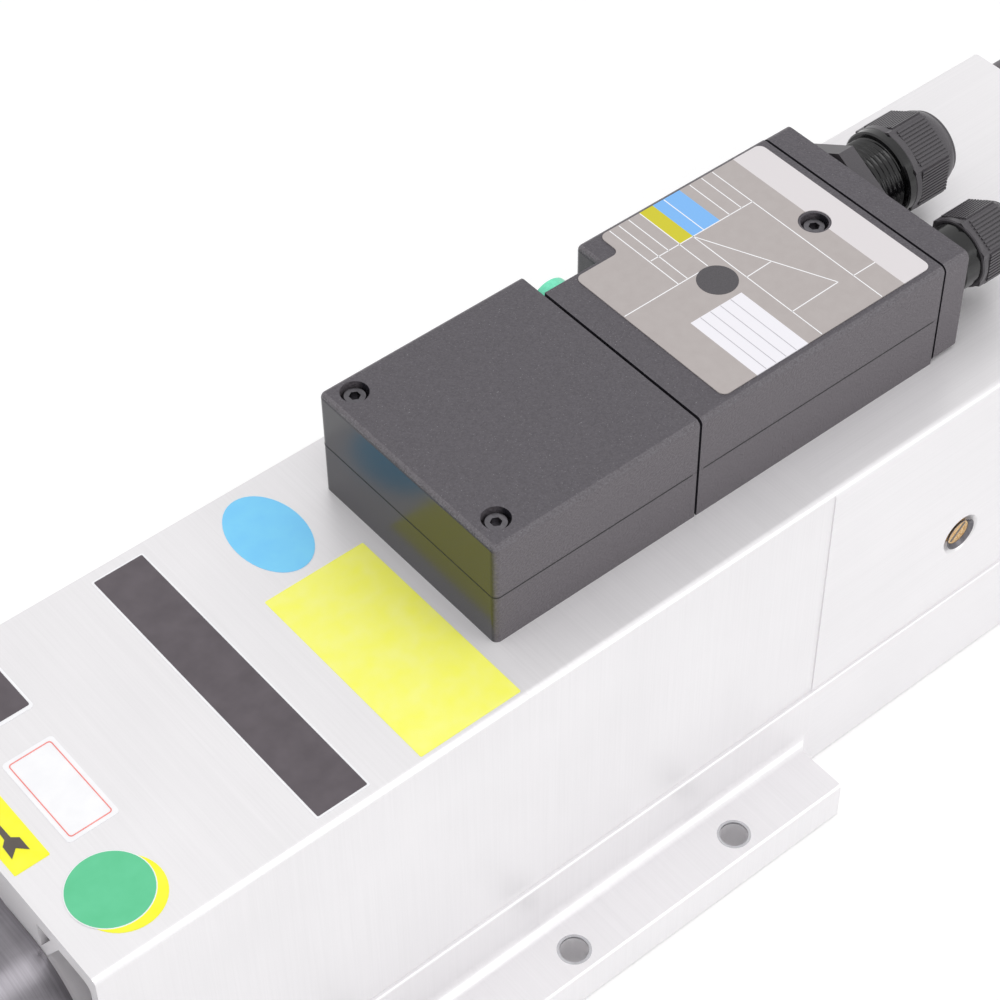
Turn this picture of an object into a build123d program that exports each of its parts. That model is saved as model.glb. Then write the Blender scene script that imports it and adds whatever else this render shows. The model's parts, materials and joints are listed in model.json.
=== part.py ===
from build123d import *
from math import cos, radians, sin
import os

os.makedirs("parts", exist_ok=True)

# Motor spindle with a tool changer. Millimetres. X runs along the spindle axis with the nose
# toward -X, Z is up, and the origin is the middle of the mounting holes on the base face.

# ---------------------------------------------------------------- clearances
running_gap = 0.3        # between pieces that move against each other
nest_gap = 0.05          # between turned pieces of one body that nest in each other
seat_gap = 0.1           # between flat faces that are screwed together
slide_fit = 0.08         # radial play of a rod or piston in its guide
stop_gap = 0.5           # left at the end of a stroke

# ---------------------------------------------------------------- spindle body (extrusion)
axis_height = 63.5
body_length = 434.0
body_width = 116.0
body_height = 127.0
body_edge_radius = 2.5
lower_wall_width = 118.2     # below the ledge the walls stand a little proud
ledge_height = 36.0
ledge_radius = 0.8
near_skim = 0.4              # milled off the near side of the front part
far_skim = 2.6               # milled off the far side of the front part
skim_end = 142.3             # where that milling stops

flange_width = 160.0
flange_thickness = 15.0
flange_root_radius = 4.0
flange_edge_chamfer = 0.6
flange_tail = 38.5           # from the last mounting hole to the end of the flange
flange_heel_radius = 6.0

mounting_hole_diameter = 9.0
mounting_hole_pitch = 65.0
mounting_holes_per_side = 4
mounting_hole_edge = 8.0     # from the flange's edge
front_overhang = 15.0        # from the first mounting hole to the front face

bore_radius = 47.5
tube_radius = 54.5           # outside of the round tube inside the extrusion
side_wall = 4.0
deck_wall = 6.0
duct_start = 29.5            # cooling ducts begin this far from the middle plane
duct_foot = 20.0             # and this far above and below the axis
duct_corner_radius = 3.0
web_thickness = 3.0
web_angle = 56.5

# ---------------------------------------------------------------- nose and bearing housings
housing_flange_thickness = 22.0
housing_flange_width = 92.0
housing_flange_corner = 22.0
housing_bolt_spread = 72.0
housing_bolt_head_radius = 5.5
housing_bolt_head_depth = 7.0
housing_shoulder = 6.0
housing_shoulder_radius = 33.0
front_bearing_recess = 16.5  # from the housing's face to the first bearing

cover_plate_radius = 45.0
cover_plate_thickness = 8.0
nose_projection = 9.5        # shaft ahead of the nose cover
nose_radius = 25.0

# ---------------------------------------------------------------- bearings
front_bearing_bore = 45.0
front_bearing_outer = 75.0
front_bearing_width = 32.0   # a matched pair, drawn as one
front_race_radius = 27.0     # outside of the inner ring
rear_bearing_bore = 35.0
rear_bearing_outer = 62.0
rear_bearing_width = 28.0    # a matched pair, drawn as one
rear_race_radius = 22.0
locknut_length = 12.0
locknut_sides = 8
front_locknut_radius = 30.0  # over its corners
rear_locknut_radius = 25.0

# ---------------------------------------------------------------- motor
stator_start = 77.5          # from the body's front face
air_gap = 0.6
rotor_radius = 28.0
winding_overhang = 26.0
winding_radius = 43.0
winding_bore_radius = 31.0
stator_slots = 24            # core and coil ends have a side for each slot
rotor_bars = 28              # and the rotor one for each bar
rotor_ring_overhang = 8.0

# ---------------------------------------------------------------- shaft and taper socket
taper_gauge_radius = 15.875
taper_length = 48.0
taper_small_radius = 8.875   # 7:24 taper over its length
taper_relief = 2.0
gripper_room_radius = 13.4
gripper_room_length = 9.4
gripper_ramp_length = 2.4
gripper_bore_radius = 11.0
gripper_bore_length = 31.0
guide_land_length = 38.0
spring_room_radius = 14.2
rear_shaft_length = 64.0
key_width = 8.0
key_length = 7.0
key_height = 9.0
key_set_in = 4.0
key_inset = 0.5

# ---------------------------------------------------------------- drawbar and gripper
release_stroke = 8.0
drawbar_head_radius = 9.0
drawbar_head_length = 37.7
drawbar_neck_radius = 5.6
drawbar_neck_length = 4.6
drawbar_tip_radius = 6.7
drawbar_tip_length = 3.7
drawbar_head_set = 3.7       # head starts this far inside the gripper bore
drawbar_rod_radius = 7.0
drawbar_tail = 18.0          # behind the shaft
spring_nut_length = 14.0
spring_nut_radius = 13.6     # over its corners
spring_stack_length = 139.4
spring_outer_radius = 13.6
spring_inner_radius = 7.4

finger_count = 4
finger_width = 8.4
finger_foot_length = 4.0
finger_foot_inner = 6.0
finger_outer = 8.7
finger_shank_inner = 7.0
finger_reach = 24.4          # from the foot's middle to the tip
finger_tip_radius = 9.8      # at the middle of its width
finger_tip_ramp = 5.0
finger_hook_inner = 4.6
finger_hook_length = 2.9

# ---------------------------------------------------------------- rear bearing housing
rear_housing_setback = 10.0  # behind the winding
rear_lip_length = 8.0
rear_lip_radius = 26.0
cylinder_wall = 10.0
housing_chamber_length = 94.0

# ---------------------------------------------------------------- release cylinder
piston_thickness = 18.0
piston_chamber = 11.5        # behind the piston, tool clamped
return_chamber = 21.0        # left ahead of the piston, tool released
piston_rod_radius = 9.0
cylinder_cover_sides = 8
cylinder_cover_radius = 50.5  # to its flats
cylinder_cover_thickness = 8.0
air_port_radius = 4.3
air_port_inset = 5.5

# ---------------------------------------------------------------- rear cover and fan
rear_cover_length = 66.5
rear_cover_width = 109.0
rear_cover_top = 125.8
rear_cover_bottom = 1.0
rear_cover_corner = 8.0
rear_cover_chamfer = 1.5
rear_cover_wall = 3.0
grille_slot_width = 5.0
grille_slot_pitch = 9.0
grille_slot_count = 11
grille_height = 96.0
grille_hub_radius = 24.0
fan_motor_radius = 20.0
fan_motor_length = 22.0
fan_radius = 49.0
fan_hub_radius = 21.0
fan_depth = 20.0
fan_blade_count = 7
fan_blade_thickness = 2.0
fan_blade_chord = 15.9
fan_blade_pitch_angle = 52.0
fan_blade_sink = 2.0         # root of a blade inside the hub

# ---------------------------------------------------------------- side vent plug
vent_plug_x = 204.0
vent_plug_z = 65.3
vent_plug_radius = 4.5
vent_plug_sink_radius = 7.5
vent_plug_sink_angle = 90.0
vent_plug_recess = 1.2

# ---------------------------------------------------------------- terminal box
box_near = -38.0
box_far = 39.1
front_box_start = 31.6
front_box_length = 73.3
box_joint = 0.9
rear_box_length = 95.4
box_base_height = 18.6
box_lid_height = 20.0
box_lid_gap = 0.1
box_wall = 2.5
box_floor = 3.0
box_edge_radius = 2.0
lid_screw_inset = 7.8
front_lid_screw_near = -29.3
front_lid_screw_far = 32.4
rear_lid_screw_inset = 14.8
rear_lid_screw_y = 0.9
lid_screw_head_radius = 4.25
lid_screw_head_depth = 4.6
screw_post_width = 11.0
cable_hole_radius = 10.0
cable_hole_inset = 16.0      # from the rear box's front end

notch_length = 20.2
notch_depth = 10.0
button_radius = 7.2
button_head_length = 4.1
button_stroke = 3.0
button_stem_width = 7.0
button_inset = 7.8           # from the rear box's front end
button_height = 7.7          # above the lid's rim
switch_length = 16.0
switch_width = 9.6
switch_height = 14.0
switch_pocket = 4.0

terminal_block_length = 42.0
terminal_block_width = 22.0
terminal_block_height = 13.0
terminal_block_inset = 30.0
terminal_slot_width = 5.0
terminal_slot_depth = 7.0
terminal_slots = 5
terminal_slot_pitch = 8.0

gasket_thickness = 0.6
gasket_inset = 1.2
gasket_width = 2.6
gland_plate_thickness = 9.5
gland_plate_lift = 0.3
gland_plate_radius = 2.5

# ---------------------------------------------------------------- cable glands
gland_height = 19.7          # above the body's top
large_gland_y = 18.8
large_gland_hex = 32.4       # across flats
large_gland_hex_length = 6.0
large_gland_thread = 12.2
large_gland_thread_length = 19.5
large_gland_bore = 8.0
large_gland_nut_setback = 15.8   # from the hexagon to the cap nut
large_gland_nut_hex = 26.4
large_gland_nut_length = 14.5
large_gland_crown = 11.4
large_gland_crown_length = 6.0
large_gland_entry = 7.5

small_gland_y = -22.5
small_gland_hex = 19.6
small_gland_hex_length = 4.0
small_gland_thread = 9.0
small_gland_thread_length = 16.0
small_gland_bore = 5.5
small_gland_nut_setback = 7.3
small_gland_nut_hex = 21.0
small_gland_nut_length = 14.5
small_gland_crown = 8.8
small_gland_crown_length = 4.5
small_gland_entry = 5.0

gland_washer_length = 2.4
gland_inner_length = 7.0     # shank inside the box

# ---------------------------------------------------------------- stations along X
front_x = -((mounting_holes_per_side - 1) / 2 * mounting_hole_pitch + front_overhang)
rear_x = front_x + body_length
flange_end_x = (mounting_holes_per_side - 1) / 2 * mounting_hole_pitch + flange_tail
deck = body_height - axis_height
mounting_hole_spread = flange_width - 2 * mounting_hole_edge

housing_face_x = front_x - housing_flange_thickness
cover_face_x = housing_face_x - seat_gap - cover_plate_thickness
nose_x = cover_face_x - nose_projection
front_bearing_x = housing_face_x + front_bearing_recess
front_bearing_end_x = front_bearing_x + front_bearing_width
housing_shoulder_x = front_bearing_end_x + nest_gap
housing_end_x = housing_shoulder_x + housing_shoulder

# The cylinder and the rear bearings are set from the rear end, and the motor fills what is left.
piston_rear_x = rear_x - piston_chamber
piston_front_x = piston_rear_x - piston_thickness
rear_housing_end_x = piston_front_x - release_stroke - return_chamber
chamber_end_x = rear_housing_end_x - cylinder_wall
rear_housing_x = chamber_end_x - housing_chamber_length - rear_lip_length
rear_bearing_x = rear_housing_x + rear_lip_length + nest_gap
rear_bearing_end_x = rear_bearing_x + rear_bearing_width
winding_end_x = rear_housing_x - rear_housing_setback
stator_end_x = winding_end_x - winding_overhang
stator_x = front_x + stator_start

shaft_step_x = rear_bearing_x - nest_gap - running_gap - rear_lip_length
shaft_end_x = shaft_step_x + rear_shaft_length
taper_end_x = nose_x + taper_length
gripper_room_x = taper_end_x + taper_relief
gripper_room_end_x = gripper_room_x + gripper_room_length
gripper_bore_x = gripper_room_end_x + gripper_ramp_length
guide_land_x = gripper_bore_x + gripper_bore_length
spring_room_x = guide_land_x + guide_land_length

drawbar_head_x = guide_land_x - drawbar_head_set
drawbar_neck_x = drawbar_head_x - drawbar_neck_length
drawbar_tip_x = drawbar_neck_x - drawbar_tip_length
drawbar_rod_x = drawbar_head_x + drawbar_head_length
drawbar_end_x = shaft_end_x + drawbar_tail
spring_x = spring_room_x + running_gap
spring_end_x = spring_x + spring_stack_length
finger_foot_x = drawbar_neck_x + running_gap
finger_hinge_x = finger_foot_x + finger_foot_length / 2
finger_tip_x = finger_hinge_x - finger_reach

piston_rod_x = drawbar_end_x + stop_gap
rear_cover_end_x = rear_x + rear_cover_length

front_box_end = front_box_start + front_box_length
rear_box_start = front_box_end + box_joint
rear_box_end = rear_box_start + rear_box_length
gland_plate_x = rear_box_end + gasket_thickness + 2 * seat_gap
gland_face_x = gland_plate_x + gland_plate_thickness
gland_shank_x = gland_plate_x - gland_inner_length
gland_hex_x = gland_face_x + seat_gap + gland_washer_length
large_thread_end_x = gland_hex_x + large_gland_hex_length + large_gland_thread_length
large_nut_x = gland_hex_x + large_gland_hex_length + large_gland_nut_setback
small_thread_end_x = gland_hex_x + small_gland_hex_length + small_gland_thread_length
small_nut_x = gland_hex_x + small_gland_hex_length + small_gland_nut_setback
box_rim = body_height + box_base_height
lid_bottom = box_rim + box_lid_gap
lid_top = lid_bottom + box_lid_height
notch_y = box_far - notch_depth
notch_x = rear_box_start + notch_length

# ---------------------------------------------------------------- planes and helpers
spindle_axis = Axis((0, 0, axis_height), (1, 0, 0))


def turning_plane(angle=0):
    """Half plane through the spindle axis: local x along the axis, local y the radius."""
    normal = (0, -cos(radians(angle)), -sin(radians(angle)))
    return Plane(origin=(0, 0, axis_height), x_dir=(1, 0, 0), z_dir=normal)


def section(x, y=0, z=axis_height):
    """Plane square to the spindle axis: local x is across, local y is up."""
    return Plane(origin=(x, y, z), x_dir=(0, 1, 0), z_dir=(1, 0, 0))


def turn(*profile):
    """Turn a closed profile of (x, radius) points about the spindle axis."""
    with BuildSketch(turning_plane()) as outline:
        with BuildLine():
            Polyline(*profile, close=True)
        make_face()
    revolve(outline.sketch, axis=spindle_axis)


def ring(start, end, inner, outer):
    """Turn a plain ring between two stations and two radii."""
    turn((start, inner), (end, inner), (end, outer), (start, outer))


# ================================================================ spindle body
# The extrusion is a round tube joined to a box by webs. Its foot carries the mounting flange,
# which is milled off behind the fixing holes.
with BuildPart() as spindle_body:
    with BuildSketch(section(front_x, 0, 0)) as profile:
        with BuildLine():
            Polyline(
                (0, 0),
                (flange_width / 2, 0),
                (flange_width / 2, flange_thickness),
                (lower_wall_width / 2, flange_thickness),
                (lower_wall_width / 2, ledge_height),
                (body_width / 2, ledge_height),
                (body_width / 2, body_height),
                (0, body_height),
            )
            mirror(about=Plane.YZ)
        make_face()
        top_corners = profile.vertices().group_by(Axis.Y)[-1].sort_by(Axis.X)
        fillet([top_corners[0], top_corners[-1]], radius=body_edge_radius)
        ledge_corners = profile.vertices().group_by(Axis.Y)[2].sort_by(Axis.X)
        fillet([ledge_corners[0], ledge_corners[-1]], radius=ledge_radius)
        flange_corners = profile.vertices().group_by(Axis.Y)[1].sort_by(Axis.X)
        fillet(flange_corners[1:-1], radius=flange_root_radius)
    extrude(amount=body_length)

    with BuildSketch(section(front_x)):
        Circle(bore_radius)
    extrude(amount=body_length, mode=Mode.SUBTRACT)

    with BuildSketch(section(front_x)) as ducts:
        duct_outer = body_width / 2 - side_wall
        duct_ceiling = deck - deck_wall
        with Locations((duct_start, duct_foot)):
            Rectangle(duct_outer - duct_start, duct_ceiling - duct_foot, align=Align.MIN)
        outer_corner = ducts.vertices().sort_by(lambda v: v.X + v.Y)[-1]
        fillet(outer_corner, radius=duct_corner_radius)
        Circle(tube_radius, mode=Mode.SUBTRACT)
        with Locations(Location((0, 0, 0), (0, 0, web_angle))):
            Rectangle(
                body_width, web_thickness, align=(Align.MIN, Align.CENTER), mode=Mode.SUBTRACT
            )
        mirror(about=Plane.YZ)
        mirror(about=Plane.XZ)
    extrude(amount=body_length, mode=Mode.SUBTRACT)

    # The flange stops behind the last hole and runs out into the wall on a cutter's radius.
    with BuildSketch(Plane.XY) as run_out:
        tail_length = rear_x - flange_end_x + flange_heel_radius
        overhang = (flange_width - lower_wall_width) / 2 + flange_heel_radius
        for side in (1, -1):
            with Locations((flange_end_x, side * lower_wall_width / 2)):
                Rectangle(
                    tail_length, overhang, align=(Align.MIN, Align.MIN if side > 0 else Align.MAX)
                )
        inner_corners = run_out.vertices().group_by(Axis.X)[0].sort_by(Axis.Y)
        fillet(inner_corners[1:3], radius=flange_heel_radius)
    extrude(amount=flange_thickness + flange_root_radius, mode=Mode.SUBTRACT)

    # The front part's sides are skimmed above the ledge.
    with BuildSketch(section(front_x, 0, ledge_height)):
        with Locations((body_width / 2 - far_skim, 0)):
            Rectangle(2 * far_skim, body_height, align=(Align.MIN, Align.MIN))
        with Locations((-body_width / 2 + near_skim, 0)):
            Rectangle(2 * near_skim, body_height, align=(Align.MAX, Align.MIN))
    extrude(amount=skim_end - front_x, mode=Mode.SUBTRACT)

    long_edges = spindle_body.edges().filter_by(Axis.X).group_by(Axis.Y)
    flange_rims = [side.sort_by(Axis.Z)[-1] for side in (long_edges[0], long_edges[-1])]
    chamfer(flange_rims, length=flange_edge_chamfer)

    with Locations(Plane.XY.offset(flange_thickness)):
        with GridLocations(
            mounting_hole_pitch, mounting_hole_spread, mounting_holes_per_side, 2
        ):
            Hole(radius=mounting_hole_diameter / 2, depth=flange_thickness)

    # Cable hole from the winding to the terminal box.
    with Locations(Location((rear_box_start + cable_hole_inset, 0, body_height))):
        Hole(radius=cable_hole_radius, depth=deck)

    # Vent hole on the near side, air ports on the far side.
    near_wall = Plane(
        origin=(vent_plug_x, -body_width / 2, vent_plug_z), x_dir=(1, 0, 0), z_dir=(0, -1, 0)
    )
    with Locations(near_wall):
        CounterSinkHole(
            radius=vent_plug_radius,
            counter_sink_radius=vent_plug_sink_radius,
            depth=body_width / 2,
            counter_sink_angle=vent_plug_sink_angle,
        )
    far_wall = Plane(
        origin=(0, body_width / 2, axis_height), x_dir=(1, 0, 0), z_dir=(0, 1, 0)
    )
    with Locations(far_wall):
        with Locations(
            (rear_x - air_port_inset, 0), (rear_housing_end_x + air_port_inset, 0)
        ):
            Hole(radius=air_port_radius, depth=body_width / 2)

spindle_body.part.label = "spindle_body"
export_step(spindle_body.part, "parts/spindle_body.step")

# Sintered plug in the near side's vent hole.
with BuildPart() as vent_plug:
    plug_plane = Plane(
        origin=(vent_plug_x, -bore_radius - nest_gap, vent_plug_z), x_dir=(1, 0, 0), z_dir=(0, -1, 0)
    )
    with BuildSketch(plug_plane):
        Circle(vent_plug_radius - nest_gap)
    extrude(amount=body_width / 2 - bore_radius - nest_gap - vent_plug_recess)
vent_plug.part.label = "vent_plug"
export_step(vent_plug.part, "parts/vent_plug.step")

# ================================================================ bearing housings and nose
# Housings of the bearings. The front one has a square flange on the body's face and a spigot in
# its bore. The rear one sits inside the bore and ends in the front wall of the release cylinder.
with BuildPart() as bearing_housings:
    with BuildSketch(section(housing_face_x)):
        RectangleRounded(housing_flange_width, housing_flange_width, housing_flange_corner)
    extrude(amount=housing_flange_thickness - seat_gap)
    with BuildSketch(section(front_x - seat_gap)):
        Circle(bore_radius - nest_gap)
    extrude(amount=housing_end_x - front_x + seat_gap)
    with BuildSketch(section(housing_face_x)):
        Circle(front_bearing_outer / 2 + nest_gap)
    extrude(amount=housing_shoulder_x - housing_face_x, mode=Mode.SUBTRACT)
    with BuildSketch(section(housing_shoulder_x)):
        Circle(housing_shoulder_radius)
    extrude(amount=housing_shoulder, mode=Mode.SUBTRACT)
    # Recesses of the screw heads.
    with BuildSketch(section(housing_face_x)):
        with GridLocations(housing_bolt_spread, housing_bolt_spread, 2, 2):
            Circle(housing_bolt_head_radius)
    extrude(amount=housing_bolt_head_depth, mode=Mode.SUBTRACT)
    turn(
        (rear_housing_x, rear_lip_radius),
        (rear_housing_x, bore_radius - nest_gap),
        (rear_housing_end_x, bore_radius - nest_gap),
        (rear_housing_end_x, piston_rod_radius + slide_fit),
        (chamber_end_x, piston_rod_radius + slide_fit),
        (chamber_end_x, rear_bearing_outer / 2 + nest_gap),
        (rear_bearing_x - nest_gap, rear_bearing_outer / 2 + nest_gap),
        (rear_bearing_x - nest_gap, rear_lip_radius),
    )
bearing_housings.part.label = "bearing_housings"
export_step(bearing_housings.part, "parts/bearing_housings.step")

# Nose cover: clamps the outer rings and seals on the shaft with a narrow gap.
with BuildPart() as nose_cover:
    turn(
        (cover_face_x, nose_radius + running_gap),
        (cover_face_x, cover_plate_radius),
        (cover_face_x + cover_plate_thickness, cover_plate_radius),
        (cover_face_x + cover_plate_thickness, front_bearing_outer / 2 - nest_gap),
        (front_bearing_x - running_gap, front_bearing_outer / 2 - nest_gap),
        (front_bearing_x - running_gap, nose_radius + running_gap),
    )
nose_cover.part.label = "nose_cover"
export_step(nose_cover.part, "parts/nose_cover.step")

# ================================================================ shaft
journal_radius = front_bearing_bore / 2
rear_journal_radius = rear_bearing_bore / 2
with BuildPart() as spindle_shaft:
    turn(
        (nose_x, taper_gauge_radius),
        (nose_x, nose_radius),
        (front_bearing_x, nose_radius),
        (front_bearing_x, journal_radius),
        (shaft_step_x, journal_radius),
        (shaft_step_x, rear_journal_radius),
        (shaft_end_x, rear_journal_radius),
        (shaft_end_x, spring_room_radius),
        (spring_room_x, spring_room_radius),
        (spring_room_x, drawbar_head_radius + 2 * slide_fit),
        (guide_land_x, drawbar_head_radius + 2 * slide_fit),
        (guide_land_x, gripper_bore_radius),
        (gripper_bore_x, gripper_bore_radius),
        (gripper_room_end_x, gripper_room_radius),
        (gripper_room_x, gripper_room_radius),
        (gripper_room_x, taper_small_radius),
        (taper_end_x, taper_small_radius),
    )
    # Seats of the two drive keys in the nose's face.
    with BuildSketch(section(nose_x)):
        for side in (1, -1):
            with Locations((0, side * (nose_radius - key_inset - key_length / 2))):
                Rectangle(key_width + 2 * nest_gap, key_length + 2 * nest_gap)
    extrude(amount=key_set_in + nest_gap, mode=Mode.SUBTRACT)
spindle_shaft.part.label = "spindle_shaft"
export_step(spindle_shaft.part, "parts/spindle_shaft.step")

with BuildPart() as drive_keys:
    with BuildSketch(section(nose_x + key_set_in - key_height)):
        for side in (1, -1):
            with Locations((0, side * (nose_radius - key_inset - key_length / 2))):
                Rectangle(key_width, key_length)
    extrude(amount=key_height)
    key_tops = drive_keys.faces().filter_by(Axis.X).group_by(Axis.X)[0]
    chamfer(key_tops.edges(), length=key_inset)
drive_keys.part.label = "drive_keys"
export_step(drive_keys.part, "parts/drive_keys.step")

# ================================================================ bearings
with BuildPart() as bearing_outer_rings:
    ring(
        front_bearing_x, front_bearing_end_x, front_race_radius + running_gap, front_bearing_outer / 2
    )
    ring(
        rear_bearing_x, rear_bearing_end_x, rear_race_radius + running_gap, rear_bearing_outer / 2
    )
bearing_outer_rings.part.label = "bearing_outer_rings"
export_step(bearing_outer_rings.part, "parts/bearing_outer_rings.step")

with BuildPart() as bearing_inner_rings:
    ring(
        front_bearing_x + nest_gap,
        front_bearing_end_x,
        journal_radius + nest_gap,
        front_race_radius,
    )
    ring(rear_bearing_x, rear_bearing_end_x, rear_journal_radius + nest_gap, rear_race_radius)
bearing_inner_rings.part.label = "bearing_inner_rings"
export_step(bearing_inner_rings.part, "parts/bearing_inner_rings.step")


def locknut(start, bore, corner_radius):
    """Nut on the shaft that holds the bearings, its outline a polygon."""
    with BuildSketch(section(start)) as face:
        RegularPolygon(corner_radius, locknut_sides)
        Circle(bore, mode=Mode.SUBTRACT)
    extrude(face.sketch, amount=locknut_length)


with BuildPart() as shaft_locknuts:
    locknut(front_bearing_end_x + seat_gap, journal_radius + nest_gap, front_locknut_radius)
    locknut(rear_bearing_end_x + seat_gap, rear_journal_radius + nest_gap, rear_locknut_radius)
shaft_locknuts.part.label = "shaft_locknuts"
export_step(shaft_locknuts.part, "parts/shaft_locknuts.step")

# ================================================================ motor
with BuildPart() as stator_core:
    with BuildSketch(section(stator_x)):
        RegularPolygon(bore_radius - nest_gap, stator_slots)
        RegularPolygon(rotor_radius + air_gap, stator_slots, major_radius=False, mode=Mode.SUBTRACT)
    extrude(amount=stator_end_x - stator_x)
stator_core.part.label = "stator_core"
export_step(stator_core.part, "parts/stator_core.step")

with BuildPart() as winding_heads:
    for start in (stator_x - winding_overhang, stator_end_x + seat_gap):
        with BuildSketch(section(start)):
            RegularPolygon(winding_radius, stator_slots)
            RegularPolygon(winding_bore_radius, stator_slots, mode=Mode.SUBTRACT)
        extrude(amount=winding_overhang - seat_gap)
winding_heads.part.label = "winding_heads"
export_step(winding_heads.part, "parts/winding_heads.step")

with BuildPart() as rotor:
    with BuildSketch(section(stator_x - rotor_ring_overhang)):
        RegularPolygon(rotor_radius, rotor_bars)
        RegularPolygon(journal_radius + nest_gap, rotor_bars, major_radius=False, mode=Mode.SUBTRACT)
    extrude(amount=stator_end_x - stator_x + 2 * rotor_ring_overhang)
rotor.part.label = "rotor"
export_step(rotor.part, "parts/rotor.step")

# ================================================================ drawbar and gripper
with BuildPart() as drawbar:
    turn(
        (drawbar_tip_x, 0),
        (drawbar_tip_x, drawbar_tip_radius),
        (drawbar_neck_x, drawbar_tip_radius),
        (drawbar_neck_x, drawbar_neck_radius),
        (drawbar_head_x, drawbar_neck_radius),
        (drawbar_head_x, drawbar_head_radius),
        (drawbar_rod_x, drawbar_head_radius),
        (drawbar_rod_x, drawbar_rod_radius),
        (drawbar_end_x, drawbar_rod_radius),
        (drawbar_end_x, 0),
    )
    # Nut that the springs push on.
    with BuildSketch(section(spring_end_x + running_gap)):
        RegularPolygon(spring_nut_radius, 6)
    extrude(amount=spring_nut_length)
drawbar.part.label = "drawbar"
export_step(drawbar.part, "parts/drawbar.step")

# The stack of disc springs, drawn as the sleeve that it fills.
with BuildPart() as disc_springs:
    ring(spring_x, spring_end_x, spring_inner_radius, spring_outer_radius)
disc_springs.part.label = "disc_springs"
export_step(disc_springs.part, "parts/disc_springs.step")


def finger_profile():
    """Outline of one gripper finger in (x, radius), foot to tip."""
    foot_end = finger_foot_x + finger_foot_length
    return (
        (foot_end, finger_foot_inner),
        (foot_end, finger_outer),
        (finger_tip_x + finger_tip_ramp, finger_outer),
        (finger_tip_x, finger_tip_radius),
        (finger_tip_x, finger_hook_inner),
        (finger_tip_x + finger_hook_length, finger_hook_inner),
        (finger_tip_x + finger_hook_length, finger_shank_inner),
        (finger_foot_x, finger_shank_inner),
        (finger_foot_x, finger_foot_inner),
    )


for index in range(finger_count):
    with BuildPart() as gripper_finger:
        with BuildSketch(turning_plane(index * 360 / finger_count)):
            with BuildLine():
                Polyline(*finger_profile(), close=True)
            make_face()
        extrude(amount=finger_width / 2, both=True)
    gripper_finger.part.label = f"gripper_finger_{index + 1}"
    export_step(gripper_finger.part, f"parts/gripper_finger_{index + 1}.step")

# ================================================================ release cylinder
with BuildPart() as release_piston:
    with BuildSketch(section(piston_front_x)):
        Circle(bore_radius - slide_fit)
    extrude(amount=piston_thickness)
    with BuildSketch(section(piston_rod_x)):
        Circle(piston_rod_radius)
    extrude(amount=piston_front_x - piston_rod_x)
release_piston.part.label = "release_piston"
export_step(release_piston.part, "parts/release_piston.step")

with BuildPart() as cylinder_cover:
    with BuildSketch(section(rear_x + seat_gap)):
        RegularPolygon(
            cylinder_cover_radius,
            cylinder_cover_sides,
            major_radius=False,
            rotation=180 / cylinder_cover_sides,
        )
    extrude(amount=cylinder_cover_thickness)
cylinder_cover.part.label = "cylinder_cover"
export_step(cylinder_cover.part, "parts/cylinder_cover.step")

# ================================================================ rear cover and fan
cover_middle = (rear_cover_top + rear_cover_bottom) / 2
cover_height = rear_cover_top - rear_cover_bottom
with BuildPart() as rear_cover:
    with BuildSketch(section(rear_x + seat_gap, 0, cover_middle)):
        RectangleRounded(rear_cover_width, cover_height, rear_cover_corner)
    extrude(amount=rear_cover_length)
    end_rim = rear_cover.faces().sort_by(Axis.X)[-1].edges()
    chamfer(end_rim, length=rear_cover_chamfer)
    with BuildSketch(section(rear_x + seat_gap, 0, cover_middle)):
        RectangleRounded(
            rear_cover_width - 2 * rear_cover_wall,
            cover_height - 2 * rear_cover_wall,
            rear_cover_corner - rear_cover_wall,
        )
    extrude(amount=rear_cover_length - rear_cover_wall, mode=Mode.SUBTRACT)
    with BuildSketch(section(rear_cover_end_x + seat_gap)):
        with GridLocations(grille_slot_pitch, grille_height, grille_slot_count, 1):
            Rectangle(grille_slot_width, grille_height)
        Circle(grille_hub_radius, mode=Mode.SUBTRACT)
    extrude(amount=-rear_cover_wall, mode=Mode.SUBTRACT)
rear_cover.part.label = "rear_cover"
export_step(rear_cover.part, "parts/rear_cover.step")

fan_motor_end_x = rear_cover_end_x - rear_cover_wall
fan_motor_x = fan_motor_end_x - fan_motor_length
with BuildPart() as fan_motor:
    with BuildSketch(section(fan_motor_x)):
        Circle(fan_motor_radius)
    extrude(amount=fan_motor_length)
fan_motor.part.label = "fan_motor"
export_step(fan_motor.part, "parts/fan_motor.step")

with BuildPart() as fan_impeller:
    fan_x = fan_motor_x - running_gap - fan_depth
    with BuildSketch(section(fan_x)):
        Circle(fan_hub_radius)
    extrude(amount=fan_depth)
    blade_root = fan_hub_radius - fan_blade_sink
    for index in range(fan_blade_count):
        turned = Plane(
            origin=(fan_x + fan_depth / 2, 0, axis_height), x_dir=(1, 0, 0), z_dir=(0, 0, 1)
        ).rotated((index * 360 / fan_blade_count, 0, 0))
        with BuildSketch(turned.offset(blade_root)):
            with Locations(Location((0, 0, 0), (0, 0, fan_blade_pitch_angle))):
                Rectangle(fan_blade_chord, fan_blade_thickness)
        extrude(amount=fan_radius - blade_root)
fan_impeller.part.label = "fan_impeller"
export_step(fan_impeller.part, "parts/fan_impeller.step")

# ================================================================ terminal box
box_middle_y = (box_near + box_far) / 2
box_width = box_far - box_near


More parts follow.
